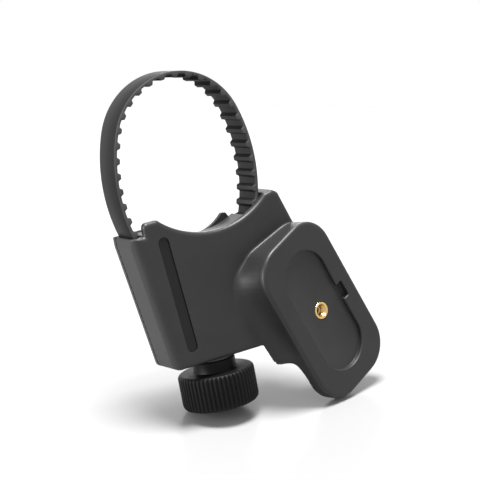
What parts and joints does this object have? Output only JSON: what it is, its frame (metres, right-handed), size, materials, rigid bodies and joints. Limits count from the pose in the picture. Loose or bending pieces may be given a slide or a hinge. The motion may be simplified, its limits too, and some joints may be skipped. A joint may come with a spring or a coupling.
{
  "type": "belt clamp tripod mount",
  "caption": "Strap mount that ties a tube down on a saddle with a toothed belt loop tightened by a knob, with an angled foot plate for a tripod screw.",
  "frame": {"origin": "centre of the knob's outer end face, on the knob's axis", "axes": "+Z along the knob and screw axis towards the belt loop, X from horn to horn, the front face looks along -Y"},
  "size_m": [0.1356, 0.0535, 0.1903],
  "materials": {
    "housing_plastic": "fine satin texture",
    "foot_plastic": "fine satin texture",
    "inner_plastic": "moulded satin",
    "knob_plastic": "satin",
    "belt_rubber": "smooth back, woven nylon facing on the teeth",
    "insert_brass": "knurled",
    "plain_brass": "turned",
    "screw_steel": "zinc plated"
  },
  "bodies": {
    "housing": {"front_housing": "housing_plastic", "rear_cover": "housing_plastic", "foot_plate": "foot_plastic", "saddle_floor": "inner_plastic", "belt_loop": "belt_rubber", "brass_insert": "insert_brass", "thrust_washer": "inner_plastic", "bottom_bush": "plain_brass", "guide_pin_left": "screw_steel", "guide_pin_right": "screw_steel", "foot_dowel_lower": "screw_steel", "foot_dowel_upper": "screw_steel", "cover_screw_1": "screw_steel", "cover_screw_2": "screw_steel", "cover_screw_3": "screw_steel", "cover_screw_4": "screw_steel"},
    "knob": {"knob": "knob_plastic", "knob_cap": "knob_plastic", "knob_core": "plain_brass", "lead_screw": "screw_steel", "retaining_clip": "screw_steel"},
    "carriage": {"tension_carriage": "inner_plastic", "tension_nut": "plain_brass", "belt_clamp_left": "screw_steel", "belt_clamp_right": "screw_steel", "clamp_screw_left": "screw_steel", "clamp_screw_right": "screw_steel", "belt_tail_left": "belt_rubber", "belt_tail_right": "belt_rubber"}
  },
  "joints": [
    {"name": "knob_spin", "type": "hinge", "parent": "housing", "child": "knob", "pos_m": [0, 0, 0], "axis": [0, 0, 1], "range_deg": [0, 1620]},
    {"name": "carriage_slide", "type": "slide", "parent": "housing", "child": "carriage", "axis": [0, 0, -1], "range_m": [0, 0.009]}
  ],
  "couplings": [
    {"joint": "carriage_slide", "follows": "knob_spin", "m_per_rad": 0.00031831}
  ]
}
